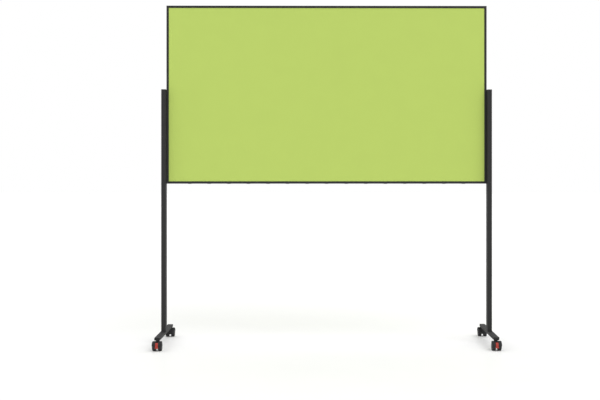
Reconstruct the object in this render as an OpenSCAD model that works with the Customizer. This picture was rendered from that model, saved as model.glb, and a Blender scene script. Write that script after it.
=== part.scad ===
// Mobile felt board: a framed panel carried between two posts, on two flat feet with twin-wheel casters.
// The origin is on the floor under the middle of the board, +Z up, the front of the board faces -Y.

/* [Board] */
// Outer width of the framed board
board_w = 1800; // [1200:10:2400]
// Outer height of the framed board
board_h = 1000; // [900:10:1200]
// Height of the board's lower edge above the floor
board_bottom = 898; // [850:1:1000]
// Depth of the frame profile, front to back
profile_d = 18; // [17:0.5:20]
// Width of the frame profile as seen from the front
profile_w = 13; // [12:0.5:18]
// Thickness of the felt on each face
felt_t = 2; // [1:0.5:3]
// Distance between the plugs under the bottom rail
plug_pitch = 110; // [90:5:140]

/* [Posts and feet] */
// Width of a post as seen from the front
post_w = 25; // [22:1:30]
// Depth of a post, front to back
post_d = 50; // [44:1:60]
// Width of a foot as seen from the front
foot_w = 30; // [30:1:40]
// Height of the foot tube
foot_h = 15; // [15:1:25]
// Wall thickness of the posts and feet
wall = 2; // [1.5:0.25:2]
// Height of the top of the posts above the floor
post_top = 1426; // [1400:1:1600]
// Length of a foot, with its end caps
foot_l = 515; // [450:5:700]
// How far the middle of a foot lies behind the middle of the board
foot_y = 1; // [0:1:20]

/* [Casters] */
// Radius of a caster wheel
wheel_r = 25; // [24:0.5:26]
// Half the width of the pair of wheels
wheel_out = 25.5; // [24:0.5:27]
// Gap between the floor and the foot
mount_h = 56; // [55:1:60]
// Distance from the swivel axis to the wheel axle
trail = 22; // [20:1:23]
// Distance from the end of a foot to the swivel axis
stem_inset = 27; // [25:1:60]

/* [Hidden] */
$fn = 64;

dark = [0.17, 0.17, 0.175];
black = [0.09, 0.09, 0.095];
steel = [0.62, 0.63, 0.65];
lime = [0.51, 0.65, 0.15];
red = [0.72, 0.10, 0.08];

// the small amounts by which cuts run past a face, and by which fitted pieces are undersized
past = 1;
play = 0.1;

// frame profile: an outer wall, a closed chamber for the corner keys, and a slot that holds the panel
skin = 1.5;
chamber = 5;
slot_u = 7.7;
panel_edge = 8.2;
frame_round = 0.6;
mitre_reach = 20;
cavity = profile_d - 2 * skin;
board_top = board_bottom + board_h;
half_w = board_w / 2;
panel_w = board_w - 2 * panel_edge;
panel_h = board_h - 2 * panel_edge;
panel_t = cavity - 2 * play;
core_t = panel_t - 2 * felt_t;

// corner keys and the screws that hold them, two a corner
key_leg = 40;
key_t = chamber - 2 * play;
key_screw = 25;
key_mid = skin + chamber / 2;
screw_r = 1.75;
screw_l = 9;
screw_bore_r = 1.8;
screw_head = [2.6, 3.4, 1.8];
screw_slot = [3.6, 0.7, 1.2];

// plugs under the bottom rail
plug_margin = 120;
plug_count = floor((board_w - 2 * plug_margin) / plug_pitch) + 1;
plug_size = [20, 10];
plug_neck = [12, 6];
plug_round = 4;
neck_round = 1;
neck_play = 0.4;
plug_proud = 1.2;

// posts stand against the sides of the frame, flush with its back
tube_round = 1;
tube_round_in = 0.8;
post_x = half_w + post_w / 2;
post_y = profile_d / 2 - post_d / 2;
foot_x = half_w + foot_w / 2;
foot_z = mount_h + foot_h;
cap_t = 2;
cap_plug = 12;
cap_plug_wall = 2;
insert_h = 25;

// bolts, their nuts and the plugs over their access holes
bolt_r = 3;
bolt_hole_r = 3.3;
thread_r = 3.05;
head_r = 5;
head_h = 4;
hex_r = 2.9;
hex_deep = 2;
access_r = 6;
cover_r = [7.5, 6.7];
cover_t = 0.8;
board_bolt_l = 8;
foot_bolt_l = 22;
foot_bolt_y = 14;
bolt_heights = [board_bottom + 60, post_top - 50];
nut_t = 4;
nut_l = 25;

// casters: places by the letters front or rear, left or right
corners = ["fl", "fr", "rl", "rr"];
stem_y = foot_l / 2 - stem_inset;
stem_low = 30;
stem_r = 4;
stem_bore_r = 4.06;
stem_hole_r = 4.5;
insert_l = 20;
collar_r = 9;
collar_gap = 0.5;
hood_top = mount_h - 3.5;
boss_r = 10;
boss_h = 10;
axle_r = 3;
axle_bore_r = 3.05;
axle_half = 22.5;
blind_end = 22.8;
wheel_in = 6.5;
shoulder = 4.5;
tread_t = 3;
groove = [1.4, 0.8];
dome_r = 120;
dish = [8, 19.5, 20];
face_ring = [12, 18, 2.2];
hood_gap = 0.8;
hood_t = 1.6;
fender = [8, 126];
web = 2 * (wheel_in - hood_gap);
web_low = 15.5;
web_high = 50;
web_beyond = 9;
web_round = 6;

// brake lever: its hub and arm lie in a slot in the web, its pedal and lip outside the wheels
hub_r = 6.6;
hub_gap = 0.8;
slot_w = 6;
arm_w = 5.2;
arm_angles = [-10, 26];
lever_w = 14.4;
lever_in = 26.3;
lever_out = 28.4;
lever_bore_r = 3.08;
pedal_angles = [-14, 48];
lip_w = 18;
lip_in = 25.9;
lip_out = 29.2;
lip_angles = [-21, -11];
arm_room = [-62, 62];
pedal_room = [-70, 56];
room_gap = 0.6;

function side(c) = c[1] == "l" ? -1 : 1;
function end(c) = c[0] == "f" ? -1 : 1;
function plug_x(i) = (i - (plug_count - 1) / 2) * plug_pitch;

module rounded(w, d, r) {
    square([w - 2 * r, d], center = true);
    square([w, d - 2 * r], center = true);
    for (x = [-1, 1], y = [-1, 1]) translate([x * (w / 2 - r), y * (d / 2 - r)]) circle(r);
}

module tube_section(w, d) {
    difference() {
        rounded(w, d, tube_round);
        rounded(w - 2 * wall, d - 2 * wall, tube_round_in);
    }
}

// what fits snugly inside such a tube
module tube_fill(w, d) {
    rounded(w - 2 * wall - 2 * play, d - 2 * wall - 2 * play, tube_round_in);
}

// section of the frame profile, with its outer face on x = 0 and the panel slot open towards +x
module frame_section() {
    difference() {
        translate([profile_w / 2, 0]) rounded(profile_w, profile_d, frame_round);
        translate([skin, -cavity / 2]) square([chamber, cavity]);
        translate([slot_u, -cavity / 2]) square([profile_w, cavity]);
    }
}

// a length of profile along +x, lying on its outer face and mitred at both ends
module mitred(l) {
    m = mitre_reach;
    intersection() {
        translate([-l / 2, 0, 0]) rotate([90, 0, 90]) linear_extrude(l) rotate(90) frame_section();
        rotate([90, 0, 0]) translate([0, 0, -profile_d]) linear_extrude(2 * profile_d)
            polygon([[-l / 2, 0], [l / 2, 0], [l / 2 - m, m], [-l / 2 + m, m]]);
    }
}

module frame_bottom() {
    neck = plug_neck + [neck_play, neck_play];
    color(dark) difference() {
        translate([0, 0, board_bottom]) mitred(board_w);
        for (i = [0 : plug_count - 1]) translate([plug_x(i), 0, board_bottom - past])
            linear_extrude(past + skin + play) rounded(neck[0], neck[1], neck_round);
        for (x = [-1, 1]) screw_hole(x * (half_w - key_screw), board_bottom + key_mid);
    }
}

module frame_top() {
    color(dark) difference() {
        translate([0, 0, board_top]) mirror([0, 0, 1]) mitred(board_w);
        for (x = [-1, 1]) screw_hole(x * (half_w - key_screw), board_top - key_mid);
    }
}

module frame_side(s) {
    color(dark) difference() {
        translate([s * half_w, 0, board_bottom + board_h / 2]) rotate([0, -s * 90, 0]) mitred(board_h);
        for (z = bolt_heights) translate([s * (half_w + past), 0, z]) rotate([0, -s * 90, 0])
            cylinder(r = bolt_hole_r, h = past + skin + play);
        for (z = [board_bottom + key_screw, board_top - key_screw]) screw_hole(s * (half_w - key_mid), z);
    }
}

// a bore for a corner screw, from the back of the frame
module screw_hole(x, z) {
    translate([x, profile_d / 2 + past, z]) rotate([90, 0, 0])
        cylinder(r = screw_bore_r, h = screw_l + 3 * past);
}

// one corner key, an L with its outer corner at the origin and its legs along +x and +z
module corner_key() {
    rotate([90, 0, 0]) translate([0, 0, -cavity / 2 + play]) linear_extrude(cavity - 2 * play)
        polygon([[0, 0], [key_leg, 0], [key_leg, key_t], [key_t, key_t], [key_t, key_leg], [0, key_leg]]);
}

module frame_corner_keys() {
    in = skin + play;
    color(steel) difference() {
        for (x = [0, 1], z = [0, 1]) mirror([x, 0, 0])
            translate([-half_w + in, 0, z ? board_top - in : board_bottom + in])
                mirror([0, 0, z]) corner_key();
        each_corner_screw() translate([0, 0, -past]) cylinder(r = screw_bore_r, h = screw_l + 3 * past);
    }
}

// places for the eight corner screws, which enter from the back
module each_corner_screw() {
    for (x = [-1, 1], z = [0, 1], at = [[key_screw, key_mid], [key_mid, key_screw]])
        translate([x * (half_w - at[0]), profile_d / 2, z ? board_top - at[1] : board_bottom + at[1]])
            rotate([90, 0, 0]) children();
}

module frame_corner_screws() {
    head = screw_head;
    cross = screw_slot;
    color(steel) each_corner_screw() {
        cylinder(r = screw_r, h = screw_l);
        difference() {
            translate([0, 0, -head[2]]) cylinder(r1 = head[0], r2 = head[1], h = head[2]);
            for (a = [0, 90]) rotate(a)
                translate([-cross[0] / 2, -cross[1] / 2, -head[2] - play]) cube(cross);
        }
    }
}

module panel_core() {
    color("burlywood") translate([-panel_w / 2, -core_t / 2, board_bottom + panel_edge])
        cube([panel_w, core_t, panel_h]);
}

module felt(s) {
    color(lime) translate([-panel_w / 2, s > 0 ? core_t / 2 : -panel_t / 2, board_bottom + panel_edge])
        cube([panel_w, felt_t, panel_h]);
}

module bottom_rail_plugs() {
    color(black) for (i = [0 : plug_count - 1]) translate([plug_x(i), 0, board_bottom]) {
        translate([0, 0, -plug_proud]) linear_extrude(plug_proud)
            rounded(plug_size[0], plug_size[1], plug_round);
        linear_extrude(skin + past) rounded(plug_neck[0], plug_neck[1], neck_round);
    }
}

module post(s) {
    color(dark) difference() {
        translate([s * post_x, post_y, foot_z]) linear_extrude(post_top - cap_t - foot_z)
            tube_section(post_w, post_d);
        for (z = bolt_heights) translate([s * post_x, 0, z]) {
            rotate([0, -s * 90, 0]) cylinder(r = bolt_hole_r, h = post_w);
            rotate([0, s * 90, 0]) cylinder(r = access_r, h = post_w);
        }
    }
}

// a push-in cap for a tube: the flange lies on z = 0 and the plug hangs below it
module tube_cap(w, d) {
    linear_extrude(cap_t) rounded(w, d, tube_round);
    difference() {
        translate([0, 0, -cap_plug]) linear_extrude(cap_plug) tube_fill(w, d);
        translate([0, 0, -cap_plug - past]) linear_extrude(cap_plug)
            tube_fill(w - 2 * cap_plug_wall, d - 2 * cap_plug_wall);
    }
}

module post_cap(s) {
    color(black) translate([s * post_x, post_y, post_top - cap_t]) tube_cap(post_w, post_d);
}

module post_inserts() {
    color(steel) for (s = [-1, 1]) translate([s * post_x, post_y, foot_z]) difference() {
        linear_extrude(insert_h) tube_fill(post_w, post_d);
        for (y = [-1, 1]) translate([0, y * foot_bolt_y, -past])
            cylinder(r = thread_r, h = insert_h + 2 * past);
    }
}

module foot(s) {
    tube_l = foot_l - 2 * cap_t;
    color(dark) difference() {
        translate([s * foot_x, foot_y + tube_l / 2, mount_h + foot_h / 2]) rotate([90, 0, 0])
            linear_extrude(tube_l) tube_section(foot_w, foot_h);
        for (y = [-1, 1]) translate([s * post_x, post_y + y * foot_bolt_y, mount_h]) {
            translate([0, 0, foot_h / 2]) cylinder(r = bolt_hole_r, h = foot_h);
            translate([0, 0, -past]) cylinder(r = access_r, h = foot_h / 2);
        }
        for (y = [-1, 1]) translate([s * foot_x, foot_y + y * stem_y, mount_h - past])
            cylinder(r = stem_hole_r, h = foot_h / 2);
    }
}

module foot_cap(c) {
    color(black) translate([side(c) * foot_x, foot_y + end(c) * (foot_l / 2 - cap_t), mount_h + foot_h / 2])
        rotate([-end(c) * 90, 0, 0]) tube_cap(foot_w, foot_h);
}

module bolt(l) {
    cylinder(r = bolt_r, h = l);
    difference() {
        translate([0, 0, -head_h]) cylinder(r = head_r, h = head_h);
        translate([0, 0, -head_h - past]) cylinder(r = hex_r, h = hex_deep + past, $fn = 6);
    }
}

module board_bolts() {
    color(steel) for (s = [-1, 1], z = bolt_heights) translate([s * (half_w + wall), 0, z])
        rotate([0, -s * 90, 0]) bolt(board_bolt_l);
}

module nut_plates() {
    color(steel) for (s = [-1, 1], z = bolt_heights)
        translate([s * (half_w - skin), 0, z]) rotate([0, -s * 90, 0]) difference() {
            linear_extrude(nut_t) square([nut_l, cavity - 2 * play], center = true);
            translate([0, 0, -past]) cylinder(r = thread_r, h = nut_t + 2 * past);
        }
}

module post_hole_plugs() {
    color(black) for (s = [-1, 1], z = bolt_heights)
        translate([s * (half_w + post_w), 0, z]) rotate([0, s * 90, 0]) {
            translate([0, 0, -wall - past]) cylinder(r = access_r - play, h = wall + past);
            cylinder(r1 = cover_r[0], r2 = cover_r[1], h = cover_t);
        }
}

module foot_bolts() {
    color(steel) for (s = [-1, 1], y = [-1, 1])
        translate([s * post_x, post_y + y * foot_bolt_y, foot_z - wall]) bolt(foot_bolt_l);
}

module caster_inserts() {
    h = foot_h - 2 * wall;
    w = foot_w - 2 * wall - 2 * tube_round_in;
    color(steel) for (s = [-1, 1], e = [-1, 1])
        translate([s * foot_x, foot_y + e * stem_y, mount_h + wall]) difference() {
            linear_extrude(h) square([w, insert_l], center = true);
            translate([0, 0, -past]) cylinder(r = stem_bore_r, h = h + 2 * past);
        }
}

// places a caster: its swivel axis is z, and its axle lies towards +y at the distance of the trail
module at_caster(c) {
    translate([side(c) * foot_x, foot_y + end(c) * stem_y, 0]) rotate(end(c) < 0 ? 180 : 0) children();
}

module stem(c) {
    collar_low = hood_top + collar_gap;
    color(steel) at_caster(c) {
        translate([0, 0, stem_low]) cylinder(r = stem_r, h = foot_z - wall - stem_low);
        translate([0, 0, collar_low]) cylinder(r = collar_r, h = mount_h - collar_low);
    }
}

// turns what is drawn around z into a shape around the wheel axle, with its z axis along +x
module on_axle() {
    translate([0, trail, wheel_r]) rotate([90, 0, 90]) children();
}

// outline of the outer wheel and tread, grown by g: radius along x, width along y
module wheel_outline(g) {
    translate([0, wheel_in - g]) square([wheel_r + g, wheel_out - shoulder - wheel_in + g]);
    translate([0, wheel_in - g]) square([wheel_r - shoulder, wheel_out - wheel_in + 2 * g]);
    translate([wheel_r - shoulder, wheel_out - shoulder]) circle(shoulder + g);
}

module wheel_space() {
    for (m = [0, 1]) mirror([0, 0, m]) rotate_extrude() wheel_outline(hood_gap);
}

// outline of the fender's outside: the wheel outlines grown by the gap and the fender's own wall
module fender_outline() {
    g = hood_gap + hood_t;
    reach = wheel_out - shoulder;
    for (m = [0, 1]) mirror([0, m]) {
        translate([hub_r, 0]) square([wheel_r + g - hub_r, reach]);
        intersection() {
            translate([wheel_r - shoulder, reach]) circle(shoulder + g);
            translate([wheel_r + play, 0]) square([2 * shoulder, 2 * wheel_out]);
        }
    }
}

module hood(c) {
    color(black) at_caster(c) difference() {
        union() {
            on_axle() rotate(fender[0]) rotate_extrude(angle = fender[1] - fender[0]) fender_outline();
            translate([-web / 2, trail / 2, (web_low + web_high) / 2]) rotate([90, 0, 90]) linear_extrude(web)
                rounded(trail + 2 * web_beyond, web_high - web_low, web_round);
            translate([0, 0, hood_top - boss_h]) cylinder(r = boss_r, h = boss_h);
        }
        on_axle() wheel_space();
        translate([0, 0, stem_low - past]) cylinder(r = stem_bore_r, h = mount_h);
        on_axle() translate([0, 0, -2 * wheel_out]) cylinder(r = axle_bore_r, h = 4 * wheel_out);
        if (end(c) < 0) lever_space();
    }
}

// the room that the brake lever needs in the hood, from its hub on the axle to its pedal
module lever_space() {
    room_w = lever_w + 2 * room_gap;
    on_axle() {
        translate([0, 0, -slot_w / 2]) rotate(arm_room[0]) rotate_extrude(angle = arm_room[1] - arm_room[0])
            translate([hub_r, 0]) square([2 * wheel_r, slot_w]);
        translate([0, 0, -slot_w / 2]) cylinder(r = hub_r + hub_gap, h = slot_w);
        translate([0, 0, -room_w / 2]) rotate(pedal_room[0])
            rotate_extrude(angle = pedal_room[1] - pedal_room[0])
                translate([lever_in - past, 0]) square([wheel_r, room_w]);
    }
}

module axle(c) {
    color(steel) at_caster(c) on_axle() translate([0, 0, -axle_half]) cylinder(r = axle_r, h = 2 * axle_half);
}

// one wheel: a hub with a blind bore, a dish behind it, and a face with a shallow ring
module wheel_body() {
    rim = wheel_r - tread_t;
    difference() {
        rotate_extrude() difference() {
            intersection() {
                translate([0, wheel_in]) square([rim, wheel_out - wheel_in]);
                translate([0, wheel_out - dome_r]) circle(dome_r);
            }
            translate([dish[0], wheel_in - past]) square([dish[1] - dish[0], dish[2] - wheel_in + past]);
            translate([face_ring[0], wheel_out - face_ring[2]])
                square([face_ring[1] - face_ring[0], face_ring[2] + past]);
        }
        translate([0, 0, wheel_in - past]) cylinder(r = axle_bore_r, h = blind_end - wheel_in + past);
    }
}

// one soft tread: a ring over the rim with a rounded outer shoulder and a groove round its middle
module tread_body() {
    rim = wheel_r - tread_t;
    rotate_extrude() difference() {
        union() {
            translate([rim, wheel_in]) square([tread_t, wheel_out - shoulder - wheel_in]);
            intersection() {
                translate([wheel_r - shoulder, wheel_out - shoulder]) circle(shoulder);
                translate([rim, wheel_in]) square([tread_t, wheel_out]);
            }
        }
        translate([wheel_r - groove[1], (wheel_in + wheel_out - groove[0]) / 2])
            square([groove[1] + past, groove[0]]);
    }
}

// s is 1 for the wheel away from the middle of the board, -1 for the one nearer to it
module wheel_place(c, s) {
    at_caster(c) on_axle() mirror([0, 0, s * side(c) * end(c) < 0 ? 1 : 0]) children();
}

// the part of a flat ring between two radii and two angles
module ring_sector(r1, r2, angles) {
    reach = 2 * r2;
    steps = 4;
    intersection() {
        difference() {
            circle(r2);
            circle(r1);
        }
        polygon([[0, 0], for (i = [0 : steps]) let (a = angles[0] + (angles[1] - angles[0]) * i / steps)
            [reach * cos(a), reach * sin(a)]]);
    }
}

// a brake lever turns on the axle: a hub, an arm and a curved pedal with a lip for the toe
module brake_lever(c) {
    color(red) at_caster(c) on_axle() difference() {
        union() {
            linear_extrude(arm_w, center = true) {
                circle(hub_r);
                ring_sector(axle_r - past, lever_in + past, arm_angles);
            }
            linear_extrude(lever_w, center = true) ring_sector(lever_in, lever_out, pedal_angles);
            linear_extrude(lip_w, center = true) ring_sector(lip_in, lip_out, lip_angles);
        }
        translate([0, 0, -lip_w]) cylinder(r = lever_bore_r, h = 2 * lip_w);
    }
}

frame_top();
frame_bottom();
frame_side(-1);  // frame_left
frame_side(1);  // frame_right
frame_corner_keys();
frame_corner_screws();
panel_core();
felt(-1);  // felt_front
felt(1);  // felt_back
bottom_rail_plugs();
post(-1);  // post_left
post(1);  // post_right
post_cap(-1);  // post_cap_left
post_cap(1);  // post_cap_right
post_inserts();
foot(-1);  // foot_left
foot(1);  // foot_right
board_bolts();
nut_plates();
post_hole_plugs();
foot_bolts();
caster_inserts();
for (c = corners) {
    foot_cap(c);
    stem(c);
    hood(c);
    axle(c);
    color(dark) wheel_place(c, 1) wheel_body();
    color(dark) wheel_place(c, -1) wheel_body();
    color(black) wheel_place(c, 1) tread_body();
    color(black) wheel_place(c, -1) tread_body();
}
for (c = ["fl", "fr"]) {
    brake_lever(c);
}
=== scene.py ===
"""Looks of the mobile felt board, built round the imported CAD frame.

Metres, +Z up, and the board's front faces -Y.
"""

import math

import bmesh
import bpy
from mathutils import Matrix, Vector, noise


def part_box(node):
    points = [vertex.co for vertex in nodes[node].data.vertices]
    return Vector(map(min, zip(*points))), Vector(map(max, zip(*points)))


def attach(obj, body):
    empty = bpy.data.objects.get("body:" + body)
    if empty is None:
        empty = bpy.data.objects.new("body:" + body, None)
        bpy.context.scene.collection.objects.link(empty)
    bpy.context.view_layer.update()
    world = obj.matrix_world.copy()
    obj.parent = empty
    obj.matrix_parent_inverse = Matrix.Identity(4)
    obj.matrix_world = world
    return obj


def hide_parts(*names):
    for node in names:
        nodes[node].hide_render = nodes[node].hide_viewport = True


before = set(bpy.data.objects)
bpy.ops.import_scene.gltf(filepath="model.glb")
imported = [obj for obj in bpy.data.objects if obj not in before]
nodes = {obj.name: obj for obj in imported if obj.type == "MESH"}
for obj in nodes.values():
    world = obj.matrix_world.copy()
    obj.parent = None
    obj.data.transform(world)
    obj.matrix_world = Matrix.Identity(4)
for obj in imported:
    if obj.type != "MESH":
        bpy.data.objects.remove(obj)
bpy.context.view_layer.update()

MM = 0.001
CORNERS = ("fl", "fr", "rl", "rr")
SEGMENTS = 96

# felt: its grid's counts across and up, and its ripple in metres
FELT_GRID = (240, 132)
FELT_RIPPLE = 0.00006

# plugs: how many sit in the bottom rail, and their sizes in millimetres
RAIL_PLUGS = 15
RAIL_PLUG_W = 20
HOLE_PLUG_R = 7.5
HOLE_PLUG_T = 0.8

# casters, in millimetres measured from the axle's middle
WHEEL_IN = 6.5
WHEEL_OUT = 25.5
WHEEL_R = 25
RIM_R = 22
BORE_R = 3.05
BLIND_END = 22.8
SHOULDER = 4.5

# brake lever, in millimetres and degrees round the axle
PEDAL_TOP, PEDAL_BOTTOM = 48.0, -21.0
PEDAL_W = 14.4
LIP_FLARE = 3.6
HUB_R = 6.6
LEVER_BORE_R = 3.1
ARM_HALF = 2.6

# strength of the studio from the camera's side, from behind, and added overhead
FRONT_GLOW, REAR_GLOW, TOP_GLOW = 0.45, 1.0, 0.51


# ---- camera ----

def make_camera():
    """A level view from a little under a metre up, almost square on to the board."""
    data = bpy.data.cameras.new("camera")
    data.lens = 63.76
    data.sensor_width = 36.0
    data.shift_x, data.shift_y = -0.0464, -0.0480
    camera = bpy.data.objects.new("camera", data)
    camera.location = (-0.040, -5.983, 0.968)
    camera.rotation_euler = (math.radians(90), 0, math.radians(-0.443))
    bpy.context.scene.collection.objects.link(camera)
    bpy.context.scene.camera = camera


# ---- materials ----

class Nodes:
    """A small wrapper that keeps the node graphs below short."""

    def __init__(self, name):
        self.material = bpy.data.materials.new(name)
        self.material.use_nodes = True
        self.tree = self.material.node_tree
        self.shader = self.tree.nodes["Principled BSDF"]
        self.place = self.tree.nodes.new("ShaderNodeTexCoord").outputs["Object"]

    def link(self, source, target):
        self.tree.links.new(source, target)
        return target

    def noise(self, scale, detail=4.0, rough=0.55, place=None):
        node = self.tree.nodes.new("ShaderNodeTexNoise")
        node.inputs["Scale"].default_value = scale
        node.inputs["Detail"].default_value = detail
        node.inputs["Roughness"].default_value = rough
        self.link(place or self.place, node.inputs["Vector"])
        return node.outputs["Fac"]

    def stretched(self, x, y, z):
        node = self.tree.nodes.new("ShaderNodeMapping")
        node.inputs["Scale"].default_value = (x, y, z)
        self.link(self.place, node.inputs["Vector"])
        return node.outputs["Vector"]

    def cells(self, scale, randomness=1.0):
        node = self.tree.nodes.new("ShaderNodeTexVoronoi")
        node.inputs["Scale"].default_value = scale
        node.inputs["Randomness"].default_value = randomness
        self.link(self.place, node.inputs["Vector"])
        return node.outputs["Distance"]

    def between(self, fac, low, high):
        """Maps a 0 to 1 pattern to low to high."""
        node = self.tree.nodes.new("ShaderNodeMapRange")
        node.inputs["To Min"].default_value = low
        node.inputs["To Max"].default_value = high
        self.link(fac, node.inputs["Value"])
        return node.outputs["Result"]

    def ramp(self, fac, *stops):
        """A colour ramp; each stop is (place, (r, g, b))."""
        node = self.tree.nodes.new("ShaderNodeValToRGB")
        band = node.color_ramp
        while len(band.elements) < len(stops):
            band.elements.new(0.5)
        for element, (at, colour) in zip(band.elements, stops):
            element.position = at
            element.color = (*colour, 1.0)
        self.link(fac, node.inputs["Fac"])
        return node.outputs["Color"]

    def bump(self, height, strength, distance, below=None):
        node = self.tree.nodes.new("ShaderNodeBump")
        node.inputs["Strength"].default_value = strength
        node.inputs["Distance"].default_value = distance
        self.link(height, node.inputs["Height"])
        if below is not None:
            self.link(below, node.inputs["Normal"])
        return node.outputs["Normal"]

    def set(self, **values):
        for name, value in values.items():
            self.shader.inputs[name.replace("_", " ")].default_value = value
        return self

    def shade(self, colour, rough, normal):
        self.link(colour, self.shader.inputs["Base Color"])
        self.link(rough, self.shader.inputs["Roughness"])
        self.link(normal, self.shader.inputs["Normal"])
        return self.material


def scaled(colour, k):
    return tuple(min(1.0, c * k) for c in colour)


def felt_material():
    """Needled felt: a dense mat of short fibres that lie every way, with a faint cloudiness."""
    n = Nodes("felt_lime")
    lime = (0.520, 0.665, 0.150)
    fine = n.noise(2600, 6, 0.7)
    along_x = n.noise(1.0, 5, 0.65, n.stretched(420, 900, 2600))
    along_z = n.noise(1.0, 5, 0.65, n.stretched(2600, 900, 420))
    cloud = n.noise(9, 3, 0.5)
    colour = n.ramp(fine, (0.25, scaled(lime, 0.90)), (0.5, lime), (0.75, scaled(lime, 1.10)))
    mix = n.tree.nodes.new("ShaderNodeMix")
    mix.data_type, mix.blend_type = "RGBA", "MULTIPLY"
    mix.inputs["Factor"].default_value = 1.0
    n.link(colour, mix.inputs[6])
    n.link(n.ramp(cloud, (0.3, (0.985,) * 3), (0.7, (1.0,) * 3)), mix.inputs[7])
    normal = n.bump(along_x, 0.35, 0.0004)
    normal = n.bump(along_z, 0.35, 0.0004, normal)
    normal = n.bump(fine, 0.25, 0.0003, normal)
    n.set(Sheen_Weight=0.25, Sheen_Roughness=0.5, Specular_IOR_Level=0.12)
    return n.shade(mix.outputs[2], n.between(fine, 0.86, 0.98), normal)


def coated_metal(name, colour, rough=0.60, grain=1300.0, specular=0.05):
    """Satin powder coat: a fine orange peel with tiny specks, a little uneven in gloss."""
    n = Nodes(name)
    peel = n.noise(grain, 3, 0.5)
    speck = n.noise(grain * 3.2, 2, 0.6)
    patch = n.noise(14, 4, 0.6)
    base = n.ramp(speck, (0.30, scaled(colour, 0.82)), (0.52, colour), (0.78, scaled(colour, 1.45)))
    normal = n.bump(peel, 0.22, 0.00025)
    normal = n.bump(speck, 0.10, 0.0001, normal)
    n.set(Specular_IOR_Level=specular)
    return n.shade(base, n.between(patch, rough - 0.05, rough + 0.07), normal)


def plastic(name, colour, rough, grain=1800.0, depth=0.12, specular=0.12):
    """Moulded plastic with a spark-eroded grain and faint flow marks."""
    n = Nodes(name)
    cells = n.cells(grain)
    flow = n.noise(1.0, 4, 0.6, n.stretched(60, 180, 60))
    base = n.ramp(flow, (0.25, scaled(colour, 0.92)), (0.75, scaled(colour, 1.08)))
    normal = n.bump(cells, depth, 0.00012)
    n.set(Specular_IOR_Level=specular)
    return n.shade(base, n.between(flow, rough - 0.04, rough + 0.05), normal)


def rubber(name, colour):
    """Soft tread: matte, with fine scuffs that run round it and a dusting of lint."""
    n = Nodes(name)
    scuff = n.noise(1.0, 5, 0.7, n.stretched(2400, 300, 300))
    dust = n.noise(260, 6, 0.7)
    base = n.ramp(dust, (0.35, colour), (0.62, scaled(colour, 1.2)), (0.85, scaled(colour, 2.0)))
    normal = n.bump(scuff, 0.25, 0.0002)
    n.set(Specular_IOR_Level=0.10)
    return n.shade(base, n.between(dust, 0.58, 0.78), normal)


def zinc(name, colour, rough=0.32):
    """Zinc-plated steel with a faint turned grain."""
    n = Nodes(name)
    turned = n.noise(1.0, 4, 0.6, n.stretched(300, 300, 5200))
    spangle = n.noise(420, 3, 0.5)
    base = n.ramp(spangle, (0.3, scaled(colour, 0.88)), (0.7, scaled(colour, 1.06)))
    n.set(Metallic=1.0)
    return n.shade(base, n.between(turned, rough - 0.08, rough + 0.1), n.bump(turned, 0.12, 0.0001))


def board_core(name):
    """Pressed fibre board: pale brown with flecks."""
    n = Nodes(name)
    fleck = n.noise(900, 6, 0.75)
    layer = n.noise(1.0, 3, 0.6, n.stretched(40, 2200, 40))
    base = n.ramp(fleck, (0.3, (0.36, 0.25, 0.14)), (0.5, (0.52, 0.38, 0.23)), (0.72, (0.66, 0.52, 0.34)))
    return n.shade(base, n.between(layer, 0.8, 0.95), n.bump(fleck, 0.4, 0.0004))


# ---- mesh making ----

def new_object(name, bm, material, smooth_angle=35.0):
    bmesh.ops.recalc_face_normals(bm, faces=bm.faces)
    mesh = bpy.data.meshes.new(name)
    bm.to_mesh(mesh)
    bm.free()
    mesh.materials.append(material)
    obj = bpy.data.objects.new(name, mesh)
    bpy.context.scene.collection.objects.link(obj)
    mesh.shade_smooth()
    mesh.set_sharp_from_angle(angle=math.radians(smooth_angle))
    return obj


def smooth(t):
    """A smooth step from 0 to 1."""
    t = min(1.0, max(0.0, t))
    return t * t * (3 - 2 * t)


def arc(x, y, r, start, stop, steps=8):
    """Points of an arc round (x, y), angles in degrees."""
    angles = [math.radians(start + (stop - start) * i / steps) for i in range(steps + 1)]
    return [(x + r * math.cos(a), y + r * math.sin(a)) for a in angles]


def rounded_path(corners, closed=False, steps=5):
    """A path through (x, y, r) corners, each turned with a fillet of radius r."""
    out = []
    count = len(corners)
    for i, (x, y, r) in enumerate(corners):
        if r <= 0 or (not closed and i in (0, count - 1)):
            out.append((x, y))
            continue
        here = Vector((x, y))
        back = Vector(corners[i - 1][:2]) - here
        ahead = Vector(corners[(i + 1) % count][:2]) - here
        half = back.angle(ahead) / 2
        reach = min(r / math.tan(half), back.length * 0.49, ahead.length * 0.49)
        p, q = here + back.normalized() * reach, here + ahead.normalized() * reach
        for k in range(steps + 1):
            t = k / steps
            point = p * (1 - t) ** 2 + here * 2 * t * (1 - t) + q * t ** 2
            out.append((point.x, point.y))
    return out


def rounded_box(w, d, r, steps=6):
    """A closed outline of a w by d rectangle with round corners."""
    out = []
    for sx, sy, start in ((1, 1, 0), (-1, 1, 90), (-1, -1, 180), (1, -1, 270)):
        out += arc(sx * (w / 2 - r), sy * (d / 2 - r), r, start, start + 90, steps)
    return out


def loft(bm, rings, closed_ends=True):
    """Skins a list of rings of equal length, and caps the first and the last."""
    made = [[bm.verts.new(p) for p in ring] for ring in rings]
    count = len(made[0])
    for a, b in zip(made, made[1:]):
        for i in range(count):
            j = (i + 1) % count
            bm.faces.new((a[i], a[j], b[j], b[i]))
    if closed_ends:
        bm.faces.new(made[0][::-1])
        bm.faces.new(made[-1])
    return made


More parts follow.
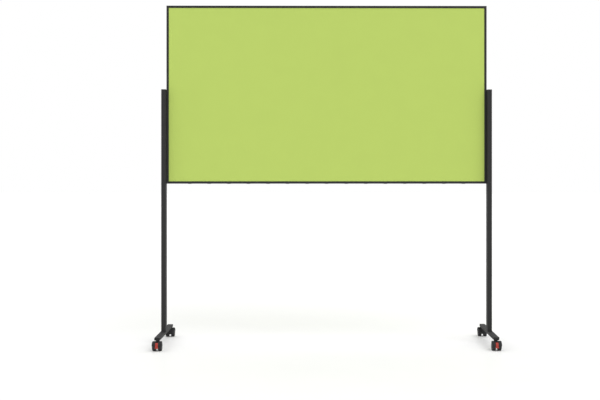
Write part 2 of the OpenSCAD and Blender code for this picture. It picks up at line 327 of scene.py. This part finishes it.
def revolve(bm, profile, to_world, closed=False, segments=SEGMENTS):
    """Turns (along, radius) points round an axis.

    to_world maps (along, cos part, sin part) to the row frame.
    """
    rings = []
    for along, radius in profile:
        if radius < 1e-7:
            rings.append([bm.verts.new(to_world(along, 0, 0))])
            continue
        turn = [2 * math.pi * k / segments for k in range(segments)]
        rings.append([
            bm.verts.new(to_world(along, radius * math.cos(t), radius * math.sin(t))) for t in turn
        ])
    pairs = list(zip(rings, rings[1:]))
    if closed:
        pairs.append((rings[-1], rings[0]))
    for a, b in pairs:
        for i in range(segments):
            j = (i + 1) % segments
            corners = [a[i % len(a)], a[j % len(a)], b[j % len(b)], b[i % len(b)]]
            unique = list(dict.fromkeys(corners))
            if len(unique) > 2:
                bm.faces.new(unique)


def node_centre(name):
    low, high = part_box(name)
    return (low + high) / 2


def stand_in(obj, body, slot, *replaced):
    """The piece rides on its body and takes the place of these CAD nodes."""
    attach(obj, body)
    if replaced:
        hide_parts(*replaced)
    return obj


# ---- board ----

def make_felt(name, node, outward, material):
    """A stretched sheet of felt: a fine grid that ripples by a few hundredths of a millimetre."""
    low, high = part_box(node)
    thick = high.y - low.y
    nx, nz = FELT_GRID
    bm = bmesh.new()
    layers = []
    for side in (0, 1):
        face = (low.y if outward < 0 else high.y) - outward * side * thick
        grid = []
        for k in range(nz + 1):
            row = []
            for i in range(nx + 1):
                x = low.x + (high.x - low.x) * i / nx
                z = low.z + (high.z - low.z) * k / nz
                edge = min(i, nx - i, k, nz - k) > 2
                ripple = 0
                if edge and not side:
                    ripple = FELT_RIPPLE * (noise.noise(Vector((x * 9, z * 9, 3.0))) - 1.0)
                row.append(bm.verts.new((x, face + outward * ripple, z)))
            grid.append(row)
        layers.append(grid)
    for grid in layers:
        for k in range(nz):
            for i in range(nx):
                bm.faces.new((grid[k][i], grid[k][i + 1], grid[k + 1][i + 1], grid[k + 1][i]))

    def border(grid):
        bottom = [grid[0][i] for i in range(nx)]
        right = [grid[k][nx] for k in range(nz)]
        top = [grid[nz][i] for i in range(nx, 0, -1)]
        left = [grid[k][0] for k in range(nz, 0, -1)]
        return bottom + right + top + left

    front, back = border(layers[0]), border(layers[1])
    for i in range(len(front)):
        j = (i + 1) % len(front)
        bm.faces.new((front[i], front[j], back[j], back[i]))
    felt = new_object(name, bm, material, 60)
    stand_in(felt, "stand", "felt", node)


def make_rail_plugs(material):
    """Low oval plugs pushed into the underside of the bottom rail, with softly domed heads."""
    low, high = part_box("bottom_rail_plugs")
    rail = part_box("frame_bottom")[0].z
    width = RAIL_PLUG_W * MM
    depth = high.y - low.y
    pitch = (high.x - low.x - width) / (RAIL_PLUGS - 1)
    proud = rail - low.z
    bm = bmesh.new()
    for i in range(RAIL_PLUGS):
        centre = low.x + width / 2 + pitch * i
        rings = [(12, 6, 1, high.z), (12, 6, 1, rail)]
        rings += [(RAIL_PLUG_W, depth / MM, 4, rail), (RAIL_PLUG_W, depth / MM, 4, rail - proud * 0.45)]
        rings += [(19.2, depth / MM - 0.8, 3.7, rail - proud * 0.82), (17, depth / MM - 3, 3, low.z)]
        loft(bm, [
            [(centre + x, y, z) for x, y in rounded_box(w * MM, d * MM, r * MM)] for w, d, r, z in rings
        ])
    stand_in(new_object("rail_plugs", bm, material, 50), "stand", "black_plastic", "bottom_rail_plugs")


# ---- stand ----

def make_tube_cap(name, node, outward, material):
    """A push-in end cap: a crisp flange with a barely domed face, over a plug.

    outward is the way it looks.
    """
    low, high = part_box(node)
    outward = Vector(outward)
    across = Vector((1, 0, 0))
    up = across.cross(outward)
    size, centre = high - low, (high + low) / 2
    long = abs(size.dot(outward))
    origin = centre + outward * long / 2
    w, d = size.dot(across) / MM, abs(size.dot(up)) / MM
    wall, flange = 4.2, 2.0
    rings = [(w - wall, d - wall, 0.8, flange - long / MM), (w - wall, d - wall, 0.8, -flange)]
    rings += [(w, d, 1.5, -flange), (w, d, 1.5, -0.5), (w - 0.16, d - 0.16, 1.45, -0.26)]
    rings += [(w - 0.7, d - 0.7, 1.3, -0.13), (w - 3, d - 3, 1.2, -0.05), (w - 8, d - 8, 1.0, 0)]
    bm = bmesh.new()
    loft(bm, [
        [origin + across * x + up * y + outward * (h * MM) for x, y in rounded_box(a * MM, b * MM, r * MM)]
        for a, b, r, h in rings
    ])
    stand_in(new_object(name, bm, material, 50), "stand", "black_plastic", node)


def make_hole_plugs(material):
    """Round plugs that close the bolt holes in the outer faces of the posts."""
    low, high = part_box("post_hole_plugs")
    bm = bmesh.new()
    for side in (-1, 1):
        for z in (low.z + HOLE_PLUG_R * MM, high.z - HOLE_PLUG_R * MM):
            profile = [(-3, 0), (-3, 5.9), (0, 5.9)]
            profile += rounded_path([(0, HOLE_PLUG_R, 0), (0.45, 7.4, 0.2),
                                     (HOLE_PLUG_T, 6.2, 0.5), (HOLE_PLUG_T, 0, 0)])
            outside = high.x - HOLE_PLUG_T * MM
            revolve(bm, [(a * MM, r * MM) for a, r in profile],
                    lambda a, u, v: (side * (outside + a), u, z + v), segments=48)
    stand_in(new_object("hole_plugs", bm, material, 40), "stand", "black_plastic", "post_hole_plugs")


# ---- casters ----

def caster_frame(corner):
    """The axle's centre, the way outwards from the board's middle, and the way the caster trails."""
    axle = node_centre("axle_" + corner)
    return axle, (1 if corner[1] == "r" else -1), (1 if corner[0] == "r" else -1)


def make_wheel(corner, place, wheel_material, tread_material):
    """A wheel moulding with a domed, ringed face, and the soft tread round it."""
    axle, outwards, _ = caster_frame(corner)
    way = outwards * (1 if place == "outer" else -1)

    def to_world(a, u, v):
        return (axle.x + way * a, axle.y + u, axle.z + v)

    out = WHEEL_OUT
    body = [(BLIND_END, 0, 0), (BLIND_END, BORE_R, 0), (WHEEL_IN, BORE_R, 0.3), (WHEEL_IN, 8, 0.5)]
    body += [(20, 7.6, 1), (20, 19.8, 1), (WHEEL_IN, 19.5, 0.4), (WHEEL_IN, RIM_R, 0.2)]
    body += [(out - 2.1, RIM_R, 0.2), (out - 1.7, 20.9, 0.5)]
    body += [(out - 1.45, 18.2, 0.5), (out - 2.2, 17.7, 0.4), (out - 2.2, 12.3, 0.4), (out - 0.6, 11.7, 0.6)]
    body += [(out - 0.25, 7.2, 0.4), (out - 0.6, 6.8, 0.3), (out - 0.5, 5.6, 0.3)]
    body += [(out, 5.2, 0.3), (out, 0, 0)]
    bm = bmesh.new()
    revolve(bm, [(a * MM, r * MM) for a, r in rounded_path(body, steps=4)], to_world)
    piece = new_object(f"caster_wheel_{place}_{corner}", bm, wheel_material, 30)
    moving = f"wheel_{place}_{corner}_body"
    stand_in(piece, moving, "wheel_plastic", f"wheel_{place}_{corner}")

    mid = (WHEEL_IN + out) / 2
    tread = [(WHEEL_IN, RIM_R, 0.2), (WHEEL_IN, WHEEL_R, 0.8), (mid - 0.85, WHEEL_R, 0.25)]
    tread += [(mid - 0.65, 24.2, 0.2), (mid + 0.65, 24.2, 0.2), (mid + 0.85, WHEEL_R, 0.25)]
    tread += [(out - 4.6, WHEEL_R, 0)]
    outline = rounded_path(tread, steps=4)
    outline += arc(out - SHOULDER, WHEEL_R - SHOULDER, SHOULDER, 90, 20, 12)[1:]
    bm = bmesh.new()
    revolve(bm, [(a * MM, r * MM) for a, r in outline + [(out - 1.6, RIM_R)]], to_world, closed=True)
    piece = new_object(f"caster_tread_{place}_{corner}", bm, tread_material, 30)
    stand_in(piece, moving, "tread", f"tread_{place}_{corner}")


def make_brake(corner, material):
    """The red lever: a curved pedal with grip ribs and a flared toe lip, on an arm that turns on the axle."""
    axle, _, trail = caster_frame(corner)

    def to_world(x, angle, radius):
        a = math.radians(angle)
        along = trail * radius * math.cos(a) * MM
        return (axle.x + x * MM, axle.y + along, axle.z + radius * math.sin(a) * MM)

    steps = 60
    rings = []
    for i in range(steps + 1):
        angle = PEDAL_TOP + (PEDAL_BOTTOM - PEDAL_TOP) * i / steps
        flare = smooth((0 - angle) / 14)
        width = PEDAL_W + LIP_FLARE * flare
        outer, inner = 28.3 + 0.9 * smooth((-7 - angle) / 9), 26.2 - 0.3 * flare
        if -4 < angle < 24:
            outer += 0.22 * math.cos((angle - 10) * math.pi / 2.6)
        tip = min(i, steps - i)
        ease = math.sin(min(1.0, (tip + 0.35) / 2.6) * math.pi / 2)
        mid, half = (outer + inner) / 2, (outer - inner) / 2 * ease
        outline = rounded_box(width - 0.9 * (1 - ease), 2 * half, min(0.75, half * 0.9), 4)
        rings.append([to_world(x, angle, mid + y) for x, y in outline])
    bm = bmesh.new()
    loft(bm, rings)
    pedal = new_object("brake_pedal_" + corner, bm, material, 50)

    bm = bmesh.new()
    hub = [(-ARM_HALF, LEVER_BORE_R, 0.2), (-ARM_HALF, HUB_R, 0.4)]
    hub += [(ARM_HALF, HUB_R, 0.4), (ARM_HALF, LEVER_BORE_R, 0.2)]
    revolve(bm, [(a * MM, r * MM) for a, r in rounded_path(hub, closed=True, steps=3)],
            lambda a, u, v: (axle.x + a, axle.y + u, axle.z + v), closed=True, segments=64)
    arm_rings = []
    for radius in (5.8, 9, 13, 17, 21, 25, 26.8):
        spread = 10 + 0.4 * radius
        section = []
        for x, y in rounded_box(2 * ARM_HALF, 2 * spread, 0.6, 3):
            section.append(to_world(x, 7 + y, radius))
        arm_rings.append(section)
    loft(bm, arm_rings)
    arm = new_object("brake_arm_" + corner, bm, material, 50)
    for piece in (pedal, arm):
        stand_in(piece, "brake_" + corner, "red_plastic", "brake_lever_" + corner)


# ---- CAD nodes that stay ----

def dress(node, material, bevel=0.0):
    """Gives a CAD node its material, and softens its sharp edges where asked."""
    obj = nodes[node]
    obj.data.materials.clear()
    obj.data.materials.append(material)
    if not bevel:
        return
    weld = obj.modifiers.new("weld", "WELD")
    weld.merge_threshold = 0.00001
    edge = obj.modifiers.new("bevel", "BEVEL")
    edge.width = bevel
    edge.segments = 2
    edge.limit_method = "ANGLE"
    edge.angle_limit = math.radians(40)
    edge.harden_normals = True


# ---- studio ----

def make_floor():
    """A pale seamless floor with the faintest gloss."""
    n = Nodes("studio_floor")
    patch = n.noise(3, 3, 0.5)
    n.set(Specular_IOR_Level=0.0, Coat_Weight=0.10, Coat_Roughness=0.22)
    material = n.shade(n.ramp(patch, (0.3, (0.86, 0.86, 0.855)), (0.7, (0.87, 0.87, 0.865))),
                       n.between(patch, 0.6, 0.7), n.bump(patch, 0.01, 0.0005))
    bm = bmesh.new()
    bmesh.ops.create_grid(bm, x_segments=8, y_segments=8, size=40.0)
    new_object("floor", bm, material)


def make_world():
    """A white studio: bright overhead and behind the board, dimmer on the camera's side."""
    world = bpy.data.worlds.new("studio")
    bpy.context.scene.world = world
    world.use_nodes = True
    tree = world.node_tree
    tree.nodes.clear()
    link = tree.links.new
    way = tree.nodes.new("ShaderNodeTexCoord")
    parts = tree.nodes.new("ShaderNodeSeparateXYZ")
    link(way.outputs["Generated"], parts.inputs["Vector"])

    def swell(source, start, stop, low, high):
        node = tree.nodes.new("ShaderNodeMapRange")
        node.interpolation_type = "SMOOTHSTEP"
        for name, value in (("From Min", start), ("From Max", stop), ("To Min", low), ("To Max", high)):
            node.inputs[name].default_value = value
        link(source, node.inputs["Value"])
        return node.outputs["Result"]

    total = tree.nodes.new("ShaderNodeMath")
    total.operation = "ADD"
    link(swell(parts.outputs["Y"], -0.5, 0.6, FRONT_GLOW, REAR_GLOW), total.inputs[0])
    link(swell(parts.outputs["Z"], 0.25, 0.95, 0.0, TOP_GLOW), total.inputs[1])
    soft = tree.nodes.new("ShaderNodeBackground")
    soft.inputs["Color"].default_value = (1, 1, 1, 1)
    link(total.outputs["Value"], soft.inputs["Strength"])
    white = tree.nodes.new("ShaderNodeBackground")
    white.inputs["Color"].default_value = (1, 1, 1, 1)
    path = tree.nodes.new("ShaderNodeLightPath")
    mix = tree.nodes.new("ShaderNodeMixShader")
    link(path.outputs["Is Camera Ray"], mix.inputs["Fac"])
    link(soft.outputs["Background"], mix.inputs[1])
    link(white.outputs["Background"], mix.inputs[2])
    out = tree.nodes.new("ShaderNodeOutputWorld")
    link(mix.outputs["Shader"], out.inputs["Surface"])


def make_key(azimuth, elevation, spread, strength):
    """A very soft key light. azimuth is turned from straight in front of the board towards +x, in degrees."""
    data = bpy.data.lights.new("key", "SUN")
    data.angle = math.radians(spread)
    data.energy = strength
    light = bpy.data.objects.new("key", data)
    a, e = math.radians(azimuth), math.radians(elevation)
    towards = Vector((math.sin(a) * math.cos(e), -math.cos(a) * math.cos(e), math.sin(e)))
    light.rotation_euler = towards.to_track_quat("Z", "Y").to_euler()
    bpy.context.scene.collection.objects.link(light)


def main():
    make_camera()
    bpy.context.scene.view_settings.view_transform = "Standard"

    black = (0.026, 0.026, 0.027)
    felt = felt_material()
    coat = coated_metal("powder_coat", (0.0395, 0.0395, 0.0397))
    caps = plastic("cap_plastic", scaled(black, 1.05), 0.45)
    hood_plastic = plastic("hood_plastic", scaled(black, 1.1), 0.42, grain=2400)
    wheel_plastic = plastic("wheel_nylon", scaled(black, 1.55), 0.40, grain=3000, depth=0.06)
    tread = rubber("tread_rubber", scaled(black, 1.5))
    red = plastic("brake_red", (0.43, 0.056, 0.044), 0.34, grain=3200, depth=0.05)
    bright = zinc("zinc_plate", (0.60, 0.61, 0.63))
    dark_steel = zinc("black_steel", (0.10, 0.10, 0.105), 0.38)

    make_felt("felt_sheet_front", "felt_front", -1, felt)
    make_felt("felt_sheet_back", "felt_back", 1, felt)
    make_rail_plugs(caps)
    make_hole_plugs(caps)
    make_tube_cap("post_crown_left", "post_cap_left", (0, 0, 1), caps)
    make_tube_cap("post_crown_right", "post_cap_right", (0, 0, 1), caps)
    for corner in CORNERS:
        way = 1 if corner[0] == "r" else -1
        make_tube_cap("foot_end_" + corner, "foot_cap_" + corner, (0, way, 0), caps)
        make_wheel(corner, "outer", wheel_plastic, tread)
        make_wheel(corner, "inner", wheel_plastic, tread)
        dress("hood_" + corner, hood_plastic, 0.0004)
        dress("axle_" + corner, bright)
        dress("stem_" + corner, dark_steel, 0.0003)
    for corner in ("fl", "fr"):
        make_brake(corner, red)

    for node in ("frame_top", "frame_bottom", "frame_left", "frame_right"):
        dress(node, coat, 0.0002)
    for node in ("post_left", "post_right", "foot_left", "foot_right"):
        dress(node, coat, 0.0003)
    for node in ("frame_corner_keys", "frame_corner_screws", "post_inserts", "board_bolts", "nut_plates",
                 "foot_bolts", "caster_inserts"):
        dress(node, bright)
    dress("panel_core", board_core("fibre_board"))

    make_floor()
    make_world()
    make_key(azimuth=32, elevation=48, spread=45, strength=0.9)


main()
